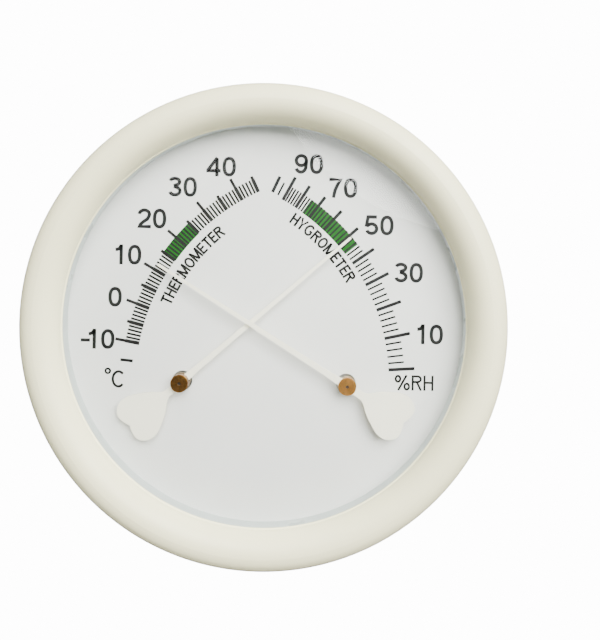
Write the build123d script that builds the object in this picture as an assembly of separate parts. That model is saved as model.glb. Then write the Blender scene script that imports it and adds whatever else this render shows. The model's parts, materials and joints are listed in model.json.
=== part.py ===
from build123d import *
import math
import os

# Round wall instrument: a thermometer and a hygrometer that share one dial. Millimetres.
# +Z is up, the dial faces -Y, and the flat back lies on the wall plane y = 0 with the
# origin at its centre. A depth is a distance from the wall, measured towards -Y.

# Case
OUTER_R = 115.6
TOTAL_DEPTH = 36.0
BACK_R = 108.0
CASE_WALL = 2.2
PARTING_DEPTH = 17.0
TONGUE_DEPTH = 2.0
TONGUE_WALL = 1.6
SIDE_STEP = 0.8
FIT_GAP = 0.2

# Front opening, window and dial
LIP_R = 96.3
CROWN_R = 106.0
DIAL_FRONT = 16.0
DIAL_THICKNESS = 1.5
DIAL_R = 101.2
WINDOW_BACK = 24.2
WINDOW_THICKNESS = 1.2
LIP_THICKNESS = 0.9
SEAT_WALL = 2.0
SHELF_INSET = 1.2
SHELF_WALL = 2.0
BEZEL_WALL = 2.6
ROLL_HEIGHT = 10.5

# Case screws and hanging slot
SCREW_CIRCLE_R = 104.8
POST_R = 3.1
POST_GAP = 2.0
CASE_SCREW_HEAD_R = 2.7
CASE_SCREW_HEAD_FRONT = 1.3
CASE_SCREW_R = 1.4
VENT_COLUMNS = 6
VENT_PITCH = 5.0
VENT_LENGTH = 22.0
VENT_WIDTH = 2.2
SCREW_ANGLES = (45, 135, 225, 315)
KEYHOLE_Z = 66.0
KEYHOLE_ENTRY_R = 4.5
KEYHOLE_SLOT_WIDTH = 4.6
KEYHOLE_TRAVEL = 9.0

# Movements
PIVOT_X = 40.5
PIVOT_Z = -28.7
ARBOR_R = 0.8
RUNNING_GAP = 0.05
SCREW_OFFSET = 17.0
SCREW_R = 1.1
SCREW_HEAD_R = 2.2
SCREW_HOLE_R = 1.3
PILLAR_R = 2.6
FRONT_BUSH_R = 2.6
REAR_BUSH_R = 2.2
STRAP_WIDTH = 7.0
BRIDGE_BACK = 3.6
BRIDGE_THICKNESS = 1.2
BRACKET_BACK = 10.3
BRACKET_THICKNESS = 1.2
COIL_TURNS = 6
COIL_STRIP = 0.5
COIL_WIDTH = 3.4
COIL_OUTER_R = 10.4
ANCHOR_R = 0.9

# Pointers
POINTER_THICKNESS = 0.9
NEEDLE_LENGTH = 109.0
CAP_R = 4.3
CAP_FRONT = DIAL_FRONT + 7.9
DIAL_HOLE_R = 4.9
HYGROMETER_POINTER_BACK = DIAL_FRONT + 3.6
THERMOMETER_POINTER_BACK = DIAL_FRONT + 5.6
HYGROMETER_REST = 41.4
THERMOMETER_REST = 148.3

DIAL_BACK = DIAL_FRONT - DIAL_THICKNESS
WINDOW_FRONT = WINDOW_BACK + WINDOW_THICKNESS
SEAT_R = DIAL_R + FIT_GAP


def facing(depth, x=0.0, z=0.0):
    """A plane that faces away from the wall: its x is +X and its y is +Z."""
    return Plane(origin=(x, -depth, z), x_dir=(1, 0, 0), z_dir=(0, -1, 0))


def rod(radius, back, front, x=0.0, z=0.0):
    return extrude(facing(back, x, z) * Circle(radius), amount=front - back)


def tube(outer, inner, back, front, x=0.0, z=0.0):
    return rod(outer, back, front, x, z) - rod(inner, back, front, x, z)


def turned(edges):
    """A solid of revolution about the Y axis from a closed outline of (radius, -depth) edges."""
    return revolve(make_face(edges), axis=Axis.Y)


def rt(radius, depth):
    return (radius, -depth)


def on_circle(radius, degrees):
    angle = math.radians(degrees)
    return radius * math.cos(angle), radius * math.sin(angle)


def keyhole(back, front):
    entry = rod(KEYHOLE_ENTRY_R, back, front, 0, KEYHOLE_Z)
    slot = facing(back, 0, KEYHOLE_Z + KEYHOLE_TRAVEL / 2) * Rectangle(KEYHOLE_SLOT_WIDTH, KEYHOLE_TRAVEL)
    end = rod(KEYHOLE_SLOT_WIDTH / 2, back, front, 0, KEYHOLE_Z + KEYHOLE_TRAVEL)
    return entry + extrude(slot, amount=front - back) + end


def vent_slots(x, z):
    """Upright slots in the back that let room air reach the coil of one movement."""
    slots = None
    for column in range(VENT_COLUMNS):
        at = facing(0, x + (column - (VENT_COLUMNS - 1) / 2) * VENT_PITCH, z)
        slot = extrude(at * SlotOverall(VENT_LENGTH, VENT_WIDTH, rotation=90), amount=CASE_WALL)
        slots = slot if slots is None else slots + slot
    return slots


def rear_case():
    side_r = OUTER_R - SIDE_STEP
    inner_r = side_r - CASE_WALL
    corner_r = side_r - BACK_R
    outline = Line(rt(0, 0), rt(BACK_R, 0))
    outline += RadiusArc(rt(BACK_R, 0), rt(side_r, corner_r), corner_r)
    outline += Polyline(
        rt(side_r, corner_r),
        rt(side_r, PARTING_DEPTH),
        rt(inner_r, PARTING_DEPTH),
        rt(inner_r, PARTING_DEPTH + TONGUE_DEPTH),
        rt(inner_r - TONGUE_WALL, PARTING_DEPTH + TONGUE_DEPTH),
        rt(inner_r - TONGUE_WALL, corner_r),
        rt(BACK_R - 2.0, CASE_WALL),
        rt(0, CASE_WALL),
        rt(0, 0),
    )
    case = turned(outline)
    shelf_r = DIAL_R - SHELF_INSET
    case += tube(shelf_r, shelf_r - SHELF_WALL, CASE_WALL / 2, DIAL_BACK)
    for angle in SCREW_ANGLES:
        x, z = on_circle(SCREW_CIRCLE_R, angle)
        case += rod(POST_R, CASE_WALL / 2, PARTING_DEPTH - POST_GAP, x, z)
    for angle in SCREW_ANGLES:
        x, z = on_circle(SCREW_CIRCLE_R, angle)
        case -= rod(CASE_SCREW_R + 0.3, 0, PARTING_DEPTH, x, z)
        case -= rod(CASE_SCREW_HEAD_R + FIT_GAP, 0, CASE_SCREW_HEAD_FRONT, x, z)
    case -= keyhole(0, CASE_WALL)
    for side in (-1, 1):
        case -= vent_slots(side * PIVOT_X, PIVOT_Z)
    return case


def front_bezel():
    cavity_in = SEAT_R + SEAT_WALL
    cavity_out = OUTER_R - BEZEL_WALL
    roll_depth = TOTAL_DEPTH - ROLL_HEIGHT
    lip_front = WINDOW_FRONT + LIP_THICKNESS
    outline = Line(rt(OUTER_R - 0.6, PARTING_DEPTH), rt(OUTER_R, roll_depth))
    roll = rt(CROWN_R, roll_depth)
    slope = rt(CROWN_R, lip_front)
    outline += EllipticalCenterArc(roll, OUTER_R - CROWN_R, TOTAL_DEPTH - roll_depth, 0, arc_size=-90)
    outline += EllipticalCenterArc(slope, CROWN_R - LIP_R - 0.5, TOTAL_DEPTH - lip_front, 270, arc_size=-90)
    outline += Polyline(
        rt(LIP_R + 0.5, lip_front),
        rt(LIP_R, lip_front - 0.4),
        rt(LIP_R, WINDOW_FRONT),
        rt(SEAT_R, WINDOW_FRONT),
        rt(SEAT_R, DIAL_BACK + 0.5),
        rt(cavity_in, DIAL_BACK + 0.5),
        rt(cavity_in, TOTAL_DEPTH - 7.0),
        rt(CROWN_R - 0.4, TOTAL_DEPTH - 2.6),
        rt(CROWN_R + 1.6, TOTAL_DEPTH - 2.9),
        rt(cavity_out, roll_depth),
        rt(cavity_out, PARTING_DEPTH),
        rt(OUTER_R - 0.6, PARTING_DEPTH),
    )
    bezel = turned(outline)
    for angle in SCREW_ANGLES:
        x, z = on_circle(SCREW_CIRCLE_R, angle)
        bezel += rod(POST_R, PARTING_DEPTH - POST_GAP, TOTAL_DEPTH - 5.0, x, z)
    for angle in SCREW_ANGLES:
        x, z = on_circle(SCREW_CIRCLE_R, angle)
        bezel -= rod(CASE_SCREW_R, PARTING_DEPTH - POST_GAP, PARTING_DEPTH + 9.0, x, z)
    return bezel


def case_screws():
    screws = []
    for angle in SCREW_ANGLES:
        x, z = on_circle(SCREW_CIRCLE_R, angle)
        head = rod(CASE_SCREW_HEAD_R, 0.2, CASE_SCREW_HEAD_FRONT, x, z)
        shank = rod(CASE_SCREW_R, CASE_SCREW_HEAD_FRONT, PARTING_DEPTH + 8.0, x, z)
        cross = extrude(facing(0.2, x, z) * (Rectangle(3.2, 0.7) + Rectangle(0.7, 3.2)), amount=0.7)
        screws.append(head + shank - cross)
    return Compound(children=[screw.solid() for screw in screws])


def window():
    return rod(DIAL_R, WINDOW_BACK, WINDOW_FRONT)


def dial_ring():
    """The white spacer between dial and window: its bore widens a little towards the dial."""
    outline = Polyline(
        rt(LIP_R + 0.7, WINDOW_BACK),
        rt(DIAL_R, WINDOW_BACK),
        rt(DIAL_R, DIAL_FRONT),
        rt(LIP_R + 1.5, DIAL_FRONT),
        rt(LIP_R + 0.7, WINDOW_BACK),
    )
    return turned(outline)


def dial_plate():
    dial = rod(DIAL_R, DIAL_BACK, DIAL_FRONT)
    boss_back = BRACKET_BACK + BRACKET_THICKNESS
    for side in (-1, 1):
        for offset in (-SCREW_OFFSET, SCREW_OFFSET):
            x = side * PIVOT_X + offset
            dial += rod(3.0, boss_back, DIAL_BACK, x, PIVOT_Z)
            dial -= rod(SCREW_R, boss_back, DIAL_BACK, x, PIVOT_Z)
        dial -= rod(DIAL_HOLE_R, DIAL_BACK, DIAL_FRONT, side * PIVOT_X, PIVOT_Z)
    return dial


def strap(x, back, thickness, middle_r, hole_r):
    """A flat strap with round ends, a round middle for its bush and two screw holes."""
    front = back + thickness
    arm = extrude(facing(back, x, PIVOT_Z) * Rectangle(2 * SCREW_OFFSET, STRAP_WIDTH), amount=thickness)
    plate = arm + rod(middle_r, back, front, x, PIVOT_Z)
    for offset in (-SCREW_OFFSET, SCREW_OFFSET):
        plate += rod(STRAP_WIDTH / 2, back, front, x + offset, PIVOT_Z)
        plate -= rod(SCREW_HOLE_R, back, front, x + offset, PIVOT_Z)
    return plate - rod(hole_r, back, front, x, PIVOT_Z)


def bracket(x):
    plate = strap(x, BRACKET_BACK, BRACKET_THICKNESS, 8.0, FRONT_BUSH_R)
    front = BRACKET_BACK + BRACKET_THICKNESS
    anchor_z = PIVOT_Z + COIL_OUTER_R + ANCHOR_R
    lug = facing(BRACKET_BACK, x, (anchor_z + PIVOT_Z) / 2) * Rectangle(5.0, anchor_z - PIVOT_Z + 4.0)
    plate += extrude(lug, amount=BRACKET_THICKNESS)
    plate -= rod(FRONT_BUSH_R, BRACKET_BACK, front, x, PIVOT_Z)
    return plate - rod(ANCHOR_R, BRACKET_BACK, front, x, anchor_z)


def bridge(x):
    return strap(x, BRIDGE_BACK, BRIDGE_THICKNESS, 5.0, REAR_BUSH_R)


def front_bush(x):
    front = BRACKET_BACK + BRACKET_THICKNESS + 0.9
    return tube(FRONT_BUSH_R, ARBOR_R + RUNNING_GAP, BRACKET_BACK - 0.7, front, x, PIVOT_Z)


def rear_bush(x):
    front = BRIDGE_BACK + BRIDGE_THICKNESS + 0.4
    return tube(REAR_BUSH_R, ARBOR_R + RUNNING_GAP, BRIDGE_BACK - 0.4, front, x, PIVOT_Z)


def pillars(x):
    pair = []
    back = BRIDGE_BACK + BRIDGE_THICKNESS
    for offset in (-SCREW_OFFSET, SCREW_OFFSET):
        pair.append(tube(PILLAR_R, SCREW_HOLE_R, back, BRACKET_BACK, x + offset, PIVOT_Z))
    return Compound(children=[pillar.solid() for pillar in pair])


def movement_screws(x):
    pair = []
    head_back = BRIDGE_BACK - 1.1
    for offset in (-SCREW_OFFSET, SCREW_OFFSET):
        head = rod(SCREW_HEAD_R, head_back, BRIDGE_BACK, x + offset, PIVOT_Z)
        shank = rod(SCREW_R, BRIDGE_BACK, DIAL_BACK - 0.5, x + offset, PIVOT_Z)
        slot = facing(head_back, x + offset, PIVOT_Z) * Rectangle(2 * SCREW_HEAD_R + 0.2, 0.6)
        pair.append(head + shank - extrude(slot, amount=0.5))
    return Compound(children=[screw.solid() for screw in pair])


def coil_anchor(x):
    z = PIVOT_Z + COIL_OUTER_R + ANCHOR_R
    return rod(ANCHOR_R, BRIDGE_BACK + BRIDGE_THICKNESS + 0.7, BRACKET_BACK + BRACKET_THICKNESS, x, z)


def coil(x):
    """A flat spiral strip from the arbor's shoulder out to the anchor straight above it."""
    inner_r = 2.0 * ARBOR_R + RUNNING_GAP
    steps = 12 * COIL_TURNS
    growth = (COIL_OUTER_R - inner_r - COIL_STRIP) / steps
    inside = []
    outside = []
    for step in range(steps + 1):
        angle = 90.0 + 30.0 * step
        radius = inner_r + growth * step
        inside.append(on_circle(radius, angle))
        outside.append(on_circle(radius + COIL_STRIP, angle))
    outline = Spline(inside) + Line(inside[-1], outside[-1]) + Spline(outside) + Line(outside[0], inside[0])
    back = BRIDGE_BACK + BRIDGE_THICKNESS + 0.9
    return extrude(facing(back, x, PIVOT_Z) * make_face(outline), amount=COIL_WIDTH)


def arbor(x):
    shoulder_back = BRIDGE_BACK + BRIDGE_THICKNESS + 0.6
    shoulder_front = BRACKET_BACK - 0.9
    spindle = rod(ARBOR_R, BRIDGE_BACK - 0.3, CAP_FRONT - 0.6, x, PIVOT_Z)
    return spindle + rod(2.0 * ARBOR_R, shoulder_back, shoulder_front, x, PIVOT_Z)


def collar(x, pointer_back):
    stem = rod(2.6, DIAL_FRONT + 0.9, pointer_back, x, PIVOT_Z)
    rim = rod(CAP_R + 0.3, pointer_back - 0.7, pointer_back, x, PIVOT_Z)
    return stem + rim - rod(ARBOR_R, DIAL_FRONT, pointer_back, x, PIVOT_Z)


def hub_cap(x, pointer_back):
    back = pointer_back + POINTER_THICKNESS
    cap = rod(CAP_R, back, CAP_FRONT, x, PIVOT_Z)
    cap = chamfer(cap.edges().group_by(Axis.Y)[0], 0.35)
    return cap - rod(ARBOR_R, back, CAP_FRONT, x, PIVOT_Z)


def pointer(x, pointer_back, degrees):
    """A slim tapered needle whose other end flares into a heart-shaped counterweight."""
    neck = 1.8
    shoulder = (-8.6, neck)
    widest = (-27.2, 11.9)
    lobe = (-34.0, 6.2)
    notch = (-32.2, 0.0)
    upper = Polyline((NEEDLE_LENGTH, 0.35), (NEEDLE_LENGTH - 0.6, 0.62), (12.0, 1.42), (4.0, neck), shoulder)
    upper += Spline([shoulder, (-14.1, 5.6), (-21.8, 10.4), widest], tangents=[(-1, 0.25), (-1, 0)])
    upper += Spline([widest, (-32.0, 10.0), lobe], tangents=[(-1, 0), (-0.05, -1)])
    upper += Spline([lobe, (-33.5, 2.8), notch], tangents=[(-0.05, -1), (0.7, -0.7)])
    lower = mirror(upper, about=Plane.XZ)
    outline = upper + lower + Line((NEEDLE_LENGTH, -0.35), (NEEDLE_LENGTH, 0.35))
    flat = make_face(outline) - Circle(ARBOR_R)
    return extrude(facing(pointer_back, x, PIVOT_Z) * Rot(0, 0, degrees) * flat, amount=POINTER_THICKNESS)


def movement(name, x, pointer_back, degrees):
    return {
        name + "_bracket": bracket(x),
        name + "_bridge": bridge(x),
        name + "_pillars": pillars(x),
        name + "_movement_screws": movement_screws(x),
        name + "_front_bush": front_bush(x),
        name + "_rear_bush": rear_bush(x),
        name + "_coil_anchor": coil_anchor(x),
        name + "_coil": coil(x),
        name + "_arbor": arbor(x),
        name + "_collar": collar(x, pointer_back),
        name + "_pointer": pointer(x, pointer_back, degrees),
        name + "_hub_cap": hub_cap(x, pointer_back),
    }


nodes = {
    "rear_case": rear_case(),
    "front_bezel": front_bezel(),
    "window": window(),
    "dial_plate": dial_plate(),
    "dial_ring": dial_ring(),
    "case_screws": case_screws(),
}
nodes.update(movement("hygrometer", -PIVOT_X, HYGROMETER_POINTER_BACK, HYGROMETER_REST))
nodes.update(movement("thermometer", PIVOT_X, THERMOMETER_POINTER_BACK, THERMOMETER_REST))

os.makedirs("parts", exist_ok=True)
for name, shape in nodes.items():
    export_step(shape, os.path.join("parts", name + ".step"))
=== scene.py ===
import json
import math

import bpy
from mathutils import Matrix, Vector


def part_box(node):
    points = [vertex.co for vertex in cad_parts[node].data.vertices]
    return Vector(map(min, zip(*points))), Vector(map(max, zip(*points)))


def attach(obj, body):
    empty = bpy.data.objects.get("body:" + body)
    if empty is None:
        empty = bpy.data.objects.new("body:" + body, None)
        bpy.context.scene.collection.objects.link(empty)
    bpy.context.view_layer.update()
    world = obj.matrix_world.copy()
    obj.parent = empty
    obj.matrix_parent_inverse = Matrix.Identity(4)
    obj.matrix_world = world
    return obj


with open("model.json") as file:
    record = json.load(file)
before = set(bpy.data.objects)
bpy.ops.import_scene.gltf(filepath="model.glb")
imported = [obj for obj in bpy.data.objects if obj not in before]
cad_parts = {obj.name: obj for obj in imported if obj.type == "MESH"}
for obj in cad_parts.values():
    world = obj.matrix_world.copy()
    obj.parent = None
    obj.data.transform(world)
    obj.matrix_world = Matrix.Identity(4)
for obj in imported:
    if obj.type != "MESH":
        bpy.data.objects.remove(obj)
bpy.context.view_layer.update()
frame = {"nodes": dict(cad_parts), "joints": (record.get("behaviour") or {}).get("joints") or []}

MM = 0.001
DIAL_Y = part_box("dial_plate")[0].y
JOINTS = {joint["name"]: joint for joint in frame["joints"]}

# The print stands proud of the dial, with the green bands under the black ticks.
INK_LIFT = 0.05 * MM
BAND_LIFT = 0.025 * MM
MITRE_LIMIT = 0.35

# Lettering: heights and pen widths; the letter gap is a share of the height.
DIGIT_HEIGHT = 9.9 * MM
DIGIT_PEN = 1.74 * MM
DIGIT_ADVANCE = 7.55 * MM
MINUS_PEN = 1.6 * MM
MINUS_STEP = 7.3 * MM
WORD_HEIGHT = 5.9 * MM
WORD_PEN = 1.10 * MM
LETTER_GAP = 0.11

# Surface detail, in metres or as noise scales
MOULD_GRAIN_SCALE = 900.0
TURNING_PITCH = 0.45 * MM

# Camera, backdrop and light
CAMERA_DISTANCE = 265.0 * MM
CAMERA_ROLL = 1.1
BACKDROP_GLOW = 14.0
WORLD_STRENGTH = 0.15


# ---------------------------------------------------------------- materials


def new_material(name):
    material = bpy.data.materials.new(name)
    material.use_nodes = True
    tree = material.node_tree
    tree.nodes.clear()
    output = tree.nodes.new("ShaderNodeOutputMaterial")
    return material, tree, output


def add(tree, kind, **inputs):
    node = tree.nodes.new(kind)
    for name, value in inputs.items():
        node.inputs[name.replace("_", " ")].default_value = value
    return node


def object_coordinates(tree):
    return tree.nodes.new("ShaderNodeTexCoord").outputs["Object"]


def noise(tree, scale, detail):
    node = add(tree, "ShaderNodeTexNoise", Scale=scale, Detail=detail, Roughness=0.55)
    tree.links.new(object_coordinates(tree), node.inputs["Vector"])
    return node.outputs["Fac"]


def ramp(tree, source, stops):
    """A colour ramp over source; stops are (position, colour or grey value)."""
    node = tree.nodes.new("ShaderNodeValToRGB")
    elements = node.color_ramp.elements
    while len(elements) < len(stops):
        elements.new(0.5)
    for element, (position, value) in zip(elements, stops):
        element.position = position
        colour = (value, value, value) if isinstance(value, float) else value
        element.color = (*colour, 1.0)
    tree.links.new(source, node.inputs["Fac"])
    return node.outputs["Color"]


def bump(tree, source, strength, distance):
    node = add(tree, "ShaderNodeBump", Strength=strength, Distance=distance)
    tree.links.new(source, node.inputs["Height"])
    return node.outputs["Normal"]


def drive(tree, shader, socket, source, stops):
    """Lets source set one of the shader's sockets, by way of a colour ramp."""
    tree.links.new(ramp(tree, source, stops), shader.inputs[socket])


def shade(colour, factor):
    return tuple(min(1.0, c * factor) for c in colour)


def plastic(name, colour, rough, mottling=0.03, grain=0.12, specular=0.5):
    """Moulded plastic: soft colour drift, uneven gloss and a fine moulded grain."""
    material, tree, output = new_material(name)
    shader = add(tree, "ShaderNodeBsdfPrincipled")
    shader.inputs["Specular IOR Level"].default_value = specular
    drift = noise(tree, 22.0, 3.0)
    dark, light = shade(colour, 1.0 - mottling), shade(colour, 1.0 + mottling)
    drive(tree, shader, "Base Color", drift, [(0.3, dark), (0.7, light)])
    gloss = noise(tree, 60.0, 5.0)
    drive(tree, shader, "Roughness", gloss, [(0.35, rough * 0.88), (0.65, rough * 1.12)])
    moulded = noise(tree, MOULD_GRAIN_SCALE, 2.0)
    tree.links.new(bump(tree, moulded, grain, 0.05 * MM), shader.inputs["Normal"])
    tree.links.new(shader.outputs["BSDF"], output.inputs["Surface"])
    return material


def turned_metal(name, colour, tarnished, rough, centre):
    """Lathe-turned metal: fine rings about the pivot axis with tarnish drifting over them."""
    material, tree, output = new_material(name)
    shader = add(tree, "ShaderNodeBsdfPrincipled", Metallic=1.0)
    mapping = tree.nodes.new("ShaderNodeMapping")
    mapping.inputs["Location"].default_value = (-centre[0], 0.0, -centre[2])
    tree.links.new(object_coordinates(tree), mapping.inputs["Vector"])
    rings = tree.nodes.new("ShaderNodeTexWave")
    rings.wave_type = "RINGS"
    rings.rings_direction = "Y"
    rings.inputs["Scale"].default_value = 0.314 / TURNING_PITCH
    rings.inputs["Distortion"].default_value = 0.6
    rings.inputs["Detail Scale"].default_value = 2.0
    tree.links.new(mapping.outputs["Vector"], rings.inputs["Vector"])
    tarnish = noise(tree, 420.0, 5.0)
    mixed = tree.nodes.new("ShaderNodeMix")
    mixed.data_type = "RGBA"
    mixed.blend_type = "MULTIPLY"
    mixed.inputs["Factor"].default_value = 0.35
    tree.links.new(ramp(tree, tarnish, [(0.32, tarnished), (0.62, colour)]), mixed.inputs["A"])
    tree.links.new(ramp(tree, rings.outputs["Fac"], [(0.0, 0.55), (1.0, 1.0)]), mixed.inputs["B"])
    tree.links.new(mixed.outputs["Result"], shader.inputs["Base Color"])
    drive(tree, shader, "Roughness", tarnish, [(0.3, rough * 1.25), (0.7, rough * 0.8)])
    tree.links.new(bump(tree, rings.outputs["Fac"], 0.35, 0.03 * MM), shader.inputs["Normal"])
    tree.links.new(shader.outputs["BSDF"], output.inputs["Surface"])
    return material


def plated_metal(name, colour, rough):
    """Plated sheet or screw steel: faint cloudy plating and short scratches."""
    material, tree, output = new_material(name)
    shader = add(tree, "ShaderNodeBsdfPrincipled", Metallic=1.0)
    clouds = noise(tree, 160.0, 6.0)
    scratches = noise(tree, 1400.0, 2.0)
    drive(tree, shader, "Base Color", clouds, [(0.3, shade(colour, 0.85)), (0.7, colour)])
    drive(tree, shader, "Roughness", scratches, [(0.3, rough * 0.8), (0.7, rough * 1.3)])
    tree.links.new(bump(tree, scratches, 0.12, 0.03 * MM), shader.inputs["Normal"])
    tree.links.new(shader.outputs["BSDF"], output.inputs["Surface"])
    return material


def window_glass(name):
    """A thin clear pane: see-through straight on, a soft mirror at a glance, with faint smears."""
    material, tree, output = new_material(name)
    clear = add(tree, "ShaderNodeBsdfTransparent", Color=(0.985, 0.992, 0.988, 1.0))
    shine = add(tree, "ShaderNodeBsdfGlossy", Color=(1.0, 1.0, 1.0, 1.0))
    smears = noise(tree, 30.0, 5.0)
    drive(tree, shine, "Roughness", smears, [(0.4, 0.02), (0.7, 0.06)])
    fresnel = add(tree, "ShaderNodeFresnel", IOR=1.16)
    blend = tree.nodes.new("ShaderNodeMixShader")
    tree.links.new(fresnel.outputs["Fac"], blend.inputs["Fac"])
    tree.links.new(clear.outputs["BSDF"], blend.inputs[1])
    tree.links.new(shine.outputs["BSDF"], blend.inputs[2])
    tree.links.new(blend.outputs["Shader"], output.inputs["Surface"])
    return material


def ink(name, colour):
    """Screen-printed ink with slightly uneven cover."""
    material, tree, output = new_material(name)
    shader = add(tree, "ShaderNodeBsdfPrincipled")
    shader.inputs["Specular IOR Level"].default_value = 0.15
    rough = 0.55
    cover = noise(tree, 700.0, 5.0)
    drive(tree, shader, "Base Color", cover, [(0.35, colour), (0.75, shade(colour, 1.22))])
    drive(tree, shader, "Roughness", cover, [(0.3, rough * 0.85), (0.7, rough * 1.15)])
    tree.links.new(bump(tree, cover, 0.1, 0.02 * MM), shader.inputs["Normal"])
    tree.links.new(shader.outputs["BSDF"], output.inputs["Surface"])
    return material


def give(material, *nodes):
    for name in nodes:
        for slot in frame["nodes"][name].material_slots:
            slot.material = material


def pivot(name):
    return Vector(JOINTS[name + "_turn"]["pos_m"])


HYGROMETER = pivot("hygrometer")
THERMOMETER = pivot("thermometer")

dial_white = plastic("dial_white", (0.72, 0.715, 0.68), 0.60, mottling=0.015, grain=0.05)
give(plastic("bezel_cream", (0.82, 0.785, 0.50), 0.42, mottling=0.02, specular=0.35), "front_bezel")
give(plastic("case_ivory", (0.79, 0.76, 0.53), 0.50, mottling=0.03, grain=0.3), "rear_case")
give(plastic("ring_grey_green", (0.50, 0.55, 0.53), 0.30, mottling=0.03), "dial_ring")
give(dial_white, "dial_plate")
give(window_glass("window_clear"), "window")
pointer_cream = plastic("pointer_cream", (0.90, 0.865, 0.70), 0.42, mottling=0.015, grain=0.05)
steel = plated_metal("plated_steel", (0.62, 0.62, 0.60), 0.32)
# Arbor steel darkened to near-black: painted shade, so the arbor end reads as the dark hole at the middle
# of each hub cap.
arbor_painted_shade = plated_metal("arbor_painted_shade", (0.10, 0.08, 0.06), 0.45)
bracket_steel = plated_metal("bracket_steel", (0.50, 0.50, 0.49), 0.40)
strip_metal = plated_metal("strip_metal", (0.66, 0.58, 0.42), 0.30)
give(steel, "case_screws")

METALS = {
    "hygrometer": ((0.33, 0.16, 0.045), (0.15, 0.075, 0.02)),
    "thermometer": ((0.68, 0.325, 0.085), (0.42, 0.20, 0.05)),
}
for name, (metal, tarnish) in METALS.items():
    cap = turned_metal(name + "_cap_metal", metal, tarnish, 0.34, pivot(name))
    bright = turned_metal(
        name + "_collar_metal", (0.80, 0.70, 0.48), (0.55, 0.46, 0.30), 0.30, pivot(name)
    )
    give(cap, name + "_hub_cap")
    give(bright, name + "_collar", name + "_front_bush", name + "_rear_bush")
    give(pointer_cream, name + "_pointer")
    give(arbor_painted_shade, name + "_arbor")
    give(steel, name + "_movement_screws")
    give(bracket_steel, name + "_bracket", name + "_bridge", name + "_pillars", name + "_coil_anchor")
    give(strip_metal, name + "_coil")

black_ink = ink("black_ink", (0.009, 0.009, 0.008))
green_ink = ink("green_ink", (0.004, 0.085, 0.004))


# ---------------------------------------------------------------- printed shapes


class Print:
    """Flat printed shapes in the dial's own plane; x is +X and y is +Z, both in metres."""

    def __init__(self, name, lift):
        self.name = name
        self.lift = lift
        self.vertices = []
        self.faces = []

    def strip(self, left, right, closed=False):
        """Closed flat prisms between two rows of points, left and right of the direction of travel."""
        base = len(self.vertices)
        count = len(left)
        for a, b in zip(left, right):
            for x, z in (a, b):
                self.vertices.append((x, DIAL_Y - self.lift, z))
                self.vertices.append((x, DIAL_Y, z))
        pairs = [(i, (i + 1) % count) for i in range(count if closed else count - 1)]
        for i, j in pairs:
            a, b = base + 4 * i, base + 4 * j
            self.faces.append((a + 2, b + 2, b, a))
            self.faces.append((a + 1, b + 1, b + 3, a + 3))
            self.faces.append((a, b, b + 1, a + 1))
            self.faces.append((b + 2, a + 2, a + 3, b + 3))
        if not closed:
            a, b = base, base + 4 * (count - 1)
            self.faces.append((a, a + 1, a + 3, a + 2))
            self.faces.append((b + 2, b + 3, b + 1, b))

    def stroke(self, points, half, closed=False, place=None):
        """A line of even width through the points, with mitred corners."""
        left, right = [], []
        count = len(points)
        for i, here in enumerate(points):
            before = points[i - 1] if (i > 0 or closed) else None
            after = points[(i + 1) % count] if (i < count - 1 or closed) else None
            normals = []
            for start, end in ((before, here), (here, after)):
                if start is None or end is None:
                    continue
                along = Vector((end[0] - start[0], end[1] - start[1]))
                if along.length > 1e-9:
                    along.normalize()
                    normals.append(Vector((-along.y, along.x)))
            middle = sum(normals, Vector((0.0, 0.0))) / len(normals)
            reach = half / max(middle.length_squared, MITRE_LIMIT)
            offset = middle * reach
            left.append((here[0] + offset.x, here[1] + offset.y))
            right.append((here[0] - offset.x, here[1] - offset.y))
        if place is not None:
            left = [place(p) for p in left]
            right = [place(p) for p in right]
        self.strip(left, right, closed)

    def finish(self, material):
        mesh = bpy.data.meshes.new(self.name)
        mesh.from_pydata(self.vertices, [], self.faces)
        mesh.validate()
        mesh.update()
        piece = bpy.data.objects.new(self.name, mesh)
        bpy.context.scene.collection.objects.link(piece)
        mesh.materials.append(material)
        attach(piece, "case")
        return piece


def polar(centre, radius, degrees):
    angle = math.radians(degrees)
    return centre.x + radius * math.cos(angle), centre.z + radius * math.sin(angle)


def tick(target, centre, degrees, inner, outer, width):
    target.stroke([polar(centre, inner, degrees), polar(centre, outer, degrees)], width / 2)


def arc_band(target, centre, inner, outer, start, end):
    steps = max(2, int(abs(end - start)))
    angles = [start + (end - start) * i / steps for i in range(steps + 1)]
    ordered = sorted(angles)
    target.strip([polar(centre, inner, a) for a in ordered], [polar(centre, outer, a) for a in ordered])


# ---------------------------------------------------------------- lettering
# Each glyph is a width and its strokes, drawn on a square of height 1 by the middle of a pen.


def bow(cx, cy, rx, ry, start, end, power=1.0):
    """Points round part of an ellipse; a power under 1 squares its sides a little."""
    steps = max(6, int(abs(end - start) / 12))
    points = []
    for i in range(steps + 1):
        angle = math.radians(start + (end - start) * i / steps)
        c, s = math.cos(angle), math.sin(angle)
        points.append((
            cx + rx * math.copysign(abs(c) ** power, c),
            cy + ry * math.copysign(abs(s) ** power, s),
        ))
    return points


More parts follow.
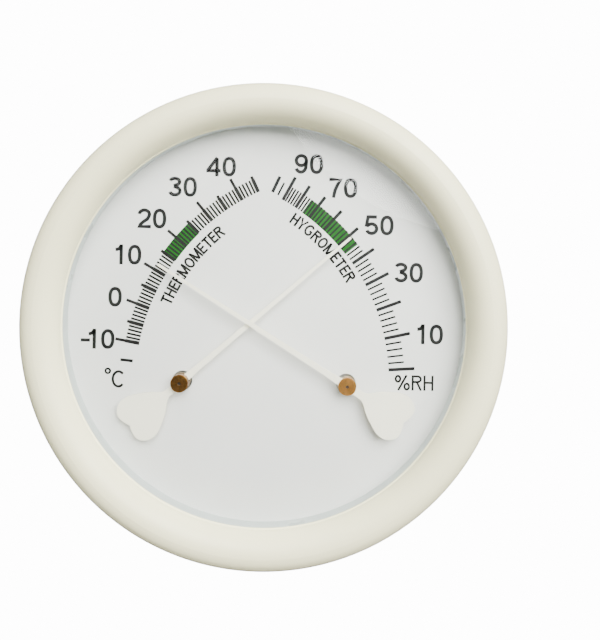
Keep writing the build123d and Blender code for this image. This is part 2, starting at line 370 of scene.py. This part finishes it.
def glyphs(pen):
    """The strokes of every printed sign for a pen of this width."""
    e = pen / 2
    wide = 0.68
    mid = wide / 2
    low, high = e, 1 - e
    ring = bow(mid, 0.5, mid - e, 0.5 - e, 0, 348, 0.86)
    return {
        "0": (wide, [(ring, True)]),
        "1": (wide, [([(0.43, 0.0), (0.43, 1.0)], False),
                     ([(0.14, 0.745), (0.24, 0.755), (0.32, 0.79), (0.38, 0.86), (0.43, 0.97)], False)]),
        "2": (wide, [(bow(mid, 0.70, mid - e, 0.30 - e, 178, -30)
                      + [(0.50, 0.47), (0.30, 0.33), (0.15, 0.20), (e + 0.01, low), (wide, low)], False)]),
        "3": (wide, [(bow(mid - 0.01, 0.745, 0.24, 0.255 - e, 165, -75) + [(0.28, 0.525)], False),
                     ([(0.28, 0.525)] + bow(mid, 0.285, mid - e, 0.285 - e, 62, -168), False)]),
        "4": (wide, [([(0.49, 0.0), (0.49, 0.90)], False),
                     ([(0.505, 0.94), (0.045, 0.315), (0.045, 0.285), (wide, 0.285)], False)]),
        "5": (wide, [([(0.60, high), (0.155, high), (0.085, 0.50)]
                      + bow(mid, 0.325, mid - e, 0.325 - e, 138, -160), False)]),
        "7": (wide, [([(0.03, high), (0.63, high), (0.47, 0.70), (0.33, 0.38), (0.25, 0.0)], False)]),
        "9": (wide, [(bow(mid, 0.665, mid - e, 0.335 - e, 0, 348), True),
                     ([(wide - e, 0.665), (wide - e - 0.005, 0.50)]
                      + bow(mid - 0.02, 0.40, mid - e + 0.005, 0.40 - e, -8, -155), False)]),
        "-": (0.46, [([(0.0, 0.43), (0.46, 0.43)], False)]),
        "C": (0.78, [(bow(0.40, 0.5, 0.40 - e, 0.5 - e, 42, 318), False)]),
        "R": (0.66, [([(e, 0.0), (e, high), (0.38, high)] + bow(0.38, 0.745, 0.215, 0.255 - e, 84, -84)
                      + [(0.38, 0.49 + e), (e, 0.49 + e)], False),
                     ([(0.34, 0.49 + e), (0.62, 0.0)], False)]),
        "H": (0.66, [([(e, 0.0), (e, 1.0)], False), ([(0.66 - e, 0.0), (0.66 - e, 1.0)], False),
                     ([(e, 0.52), (0.66 - e, 0.52)], False)]),
        "T": (0.62, [([(0.0, high), (0.62, high)], False), ([(0.31, high), (0.31, 0.0)], False)]),
        "E": (0.56, [([(0.56, high), (e, high), (e, low), (0.56, low)], False),
                     ([(e, 0.52), (0.52, 0.52)], False)]),
        "M": (0.84, [([(e, 0.0), (e, 1.0)], False), ([(0.84 - e, 0.0), (0.84 - e, 1.0)], False),
                     ([(e, 1.0), (0.42, 0.05)], False), ([(0.42, 0.05), (0.84 - e, 1.0)], False)]),
        "O": (0.76, [(bow(0.38, 0.5, 0.38 - e, 0.5 - e, 0, 348), True)]),
        "Y": (0.64, [([(0.03, 1.0), (0.32, 0.44), (0.61, 1.0)], False),
                     ([(0.32, 0.46), (0.32, 0.0)], False)]),
        "G": (0.78, [(bow(0.40, 0.5, 0.40 - e, 0.5 - e, 42, 325)
                      + [(0.72 - e, 0.46), (0.45, 0.46)], False)]),
        "%": (0.98, [(bow(0.20, 0.75, 0.22 - e, 0.26 - e, 0, 348), True),
                     (bow(0.78, 0.25, 0.22 - e, 0.26 - e, 0, 348), True),
                     ([(0.22, 0.0), (0.76, 1.0)], False)]),
    }


def write(target, text, middle, height, pen, advance=None, turn=0.0):
    """Writes text centred on middle; sizes in metres, turn in degrees anticlockwise."""
    shapes = glyphs(pen / height)
    if advance is None:
        widths = [shapes[sign][0] + LETTER_GAP for sign in text]
    else:
        widths = [advance / height] * len(text)
    total = sum(widths[:-1]) + shapes[text[-1]][0]
    cos, sin = math.cos(math.radians(turn)), math.sin(math.radians(turn))
    at = -total / 2
    for sign, width in zip(text, widths):

        def place(p, at=at):
            x, y = (p[0] + at) * height, (p[1] - 0.5) * height
            return middle[0] + x * cos - y * sin, middle[1] + x * sin + y * cos

        for points, closed in shapes[sign][1]:
            target.stroke(points, pen / height / 2, closed, place)
        at += width


# ---------------------------------------------------------------- the two scales


def temperature_angle(celsius):
    """Degrees anticlockwise from +X, about the thermometer's pivot."""
    return 160.2 - 0.99 * celsius


def humidity_angle(percent):
    """Degrees anticlockwise from +X, about the hygrometer's pivot; the scale closes up towards 100."""
    return 4.0 + 0.905 * percent - 0.0029 * percent * percent


def thermometer_scale():
    ticks = Print("thermometer_ticks", INK_LIFT)
    inner = 104.2 * MM
    outer = {1: 111.2 * MM, 5: 112.7 * MM, 10: 116.3 * MM}
    fine, heavy, stem = 1.05 * MM, 1.85 * MM, 1.45 * MM
    for celsius in range(-10, 46):
        size = 10 if celsius % 10 == 0 else 5 if celsius % 5 == 0 else 1
        angle = temperature_angle(celsius)
        tick(ticks, THERMOMETER, angle, inner, outer[1], fine if size == 1 else heavy)
        if size > 1:
            tick(ticks, THERMOMETER, angle, outer[1], outer[size], stem)
    tick(ticks, THERMOMETER, temperature_angle(-15), 106.1 * MM, 112.3 * MM, stem)
    ticks.finish(black_ink)
    band = Print("thermometer_comfort_band", BAND_LIFT)
    arc_band(band, THERMOMETER, 103.9 * MM, 111.4 * MM, temperature_angle(15), temperature_angle(25))
    band.finish(green_ink)
    numbers = Print("thermometer_numbers", INK_LIFT)
    for celsius, radius in ((0, 122.1), (10, 125.8), (20, 126.1), (30, 126.6), (40, 123.8)):
        middle = polar(THERMOMETER, radius * MM, temperature_angle(celsius) + 0.3)
        write(numbers, str(celsius), middle, DIGIT_HEIGHT, DIGIT_PEN, DIGIT_ADVANCE)
    middle = polar(THERMOMETER, 123.7 * MM, temperature_angle(-10) + 0.7)
    write(numbers, "10", middle, DIGIT_HEIGHT, DIGIT_PEN, DIGIT_ADVANCE)
    write(numbers, "-", (middle[0] - MINUS_STEP, middle[1]), DIGIT_HEIGHT, MINUS_PEN)
    numbers.finish(black_ink)


def hygrometer_scale():
    ticks = Print("hygrometer_ticks", INK_LIFT)
    inner = 102.2 * MM
    minor = 110.1 * MM
    fine, heavy = 0.92 * MM, 1.6 * MM
    for percent in range(0, 91, 2):
        angle = humidity_angle(percent)
        if percent % 10 == 0:
            tick(ticks, HYGROMETER, angle, inner, 115.1 * MM, heavy)
        else:
            tick(ticks, HYGROMETER, angle, inner, minor, fine)
    tick(ticks, HYGROMETER, humidity_angle(95), inner + 1.0 * MM, minor, fine)
    tick(ticks, HYGROMETER, humidity_angle(100), 103.3 * MM, 111.9 * MM, heavy)
    ticks.finish(black_ink)
    band = Print("hygrometer_comfort_band", BAND_LIFT)
    arc_band(band, HYGROMETER, 102.0 * MM, 109.9 * MM, humidity_angle(45), humidity_angle(75))
    band.finish(green_ink)
    numbers = Print("hygrometer_numbers", INK_LIFT)
    for percent, step_back in ((10, 1.1), (30, 2.0), (50, 2.7), (70, 1.9), (90, 1.2)):
        middle = polar(HYGROMETER, 124.1 * MM, humidity_angle(percent) - step_back)
        write(numbers, str(percent), middle, DIGIT_HEIGHT, DIGIT_PEN, DIGIT_ADVANCE)
    numbers.finish(black_ink)


def word_round(name, text, centre, radius, first, last):
    """A word along an arc with the letters' tops outward, from angle first to angle last."""
    target = Print(name, INK_LIFT)
    shapes = glyphs(WORD_PEN / WORD_HEIGHT)
    widths = [shapes[letter][0] for letter in text]
    steps = [0.0] + [(a + b) / 2 + LETTER_GAP for a, b in zip(widths, widths[1:])]
    travelled = 0.0
    for letter, step in zip(text, steps):
        travelled += step
        angle = first + (last - first) * travelled / sum(steps)
        write(target, letter, polar(centre, radius, angle), WORD_HEIGHT, WORD_PEN, turn=angle - 90.0)
    target.finish(black_ink)


def unit_signs():
    target = Print("unit_signs", INK_LIFT)
    write(target, "C", (-72.2 * MM, -28.6 * MM), 8.7 * MM, 1.25 * MM)
    degree_x, degree_z, degree_r = -77.5 * MM, -24.7 * MM, 1.15 * MM

    def place(p):
        return degree_x + p[0] * degree_r, degree_z + p[1] * degree_r

    target.stroke(bow(0.0, 0.0, 1.0, 1.0, 0, 345), 0.44, True, place)
    write(target, "%RH", (74.3 * MM, -27.8 * MM), 7.6 * MM, 1.08 * MM)
    target.finish(black_ink)


thermometer_scale()
hygrometer_scale()
word_round("thermometer_word", "THERMOMETER", THERMOMETER, 97.8 * MM, 156.1, 131.1)
word_round("hygrometer_word", "HYGROMETER", HYGROMETER, 97.3 * MM, 56.0, 32.9)
unit_signs()


# ---------------------------------------------------------------- camera, stage and light


def make_camera():
    eye = Vector((14.6 * MM, DIAL_Y - CAMERA_DISTANCE, 31.2 * MM))
    level = Matrix.Rotation(math.radians(90), 4, "X")
    roll = Matrix.Rotation(math.radians(CAMERA_ROLL), 4, "Z")
    camera = bpy.data.objects.new("camera", bpy.data.cameras.new("camera"))
    camera.data.lens = 30.1
    camera.data.sensor_width = 36.0
    camera.data.shift_x = 0.0064
    camera.data.shift_y = -0.0914
    camera.matrix_world = Matrix.Translation(eye) @ level @ roll
    bpy.context.scene.collection.objects.link(camera)
    bpy.context.scene.camera = camera


def studio_sweep():
    """A pale floor that curves up into a pale wall; it glows for camera rays only."""
    floor_z, top_z, back_y, front_y = -0.60, 2.4, 1.0, -2.2
    half, bend, steps = 3.0, 0.5, 12
    profile = [(front_y, floor_z)]
    for i in range(steps + 1):
        angle = math.radians(90.0 * i / steps)
        y = back_y - bend + bend * math.sin(angle)
        profile.append((y, floor_z + bend - bend * math.cos(angle)))
    profile.append((back_y, top_z))
    vertices = [(x, y, z) for y, z in profile for x in (-half, half)]
    faces = [(2 * i, 2 * i + 1, 2 * i + 3, 2 * i + 2) for i in range(len(profile) - 1)]
    mesh = bpy.data.meshes.new("studio_sweep")
    mesh.from_pydata(vertices, [], faces)
    for polygon in mesh.polygons:
        polygon.use_smooth = True
    sweep = bpy.data.objects.new("studio_sweep", mesh)
    bpy.context.scene.collection.objects.link(sweep)
    material, tree, output = new_material("sweep_white")
    paint = add(tree, "ShaderNodeBsdfDiffuse", Color=(0.14, 0.14, 0.136, 1.0))
    glow = add(tree, "ShaderNodeEmission", Color=(1.0, 1.0, 1.0, 1.0), Strength=BACKDROP_GLOW)
    seen = tree.nodes.new("ShaderNodeLightPath")
    blend = tree.nodes.new("ShaderNodeMixShader")
    tree.links.new(seen.outputs["Is Camera Ray"], blend.inputs["Fac"])
    tree.links.new(paint.outputs["BSDF"], blend.inputs[1])
    tree.links.new(glow.outputs["Emission"], blend.inputs[2])
    tree.links.new(blend.outputs["Shader"], output.inputs["Surface"])
    mesh.materials.append(material)


def area_light(name, place, size, power):
    """A round soft light at place, aimed at the object's origin."""
    data = bpy.data.lights.new(name, "AREA")
    data.shape = "DISK"
    data.size = size
    data.energy = power
    lamp = bpy.data.objects.new(name, data)
    lamp.location = place
    lamp.rotation_euler = (-Vector(place)).to_track_quat("-Z", "Y").to_euler()
    bpy.context.scene.collection.objects.link(lamp)


make_camera()
studio_sweep()
area_light("key", (0.40, -0.80, 0.58), 1.15, 62.0)
area_light("fill", (-0.5, -1.5, 0.7), 1.0, 5.0)
world = bpy.data.worlds.new("studio")
world.use_nodes = True
background = world.node_tree.nodes["Background"]
background.inputs["Color"].default_value = (1.0, 1.0, 1.0, 1.0)
background.inputs["Strength"].default_value = WORLD_STRENGTH
bpy.context.scene.world = world
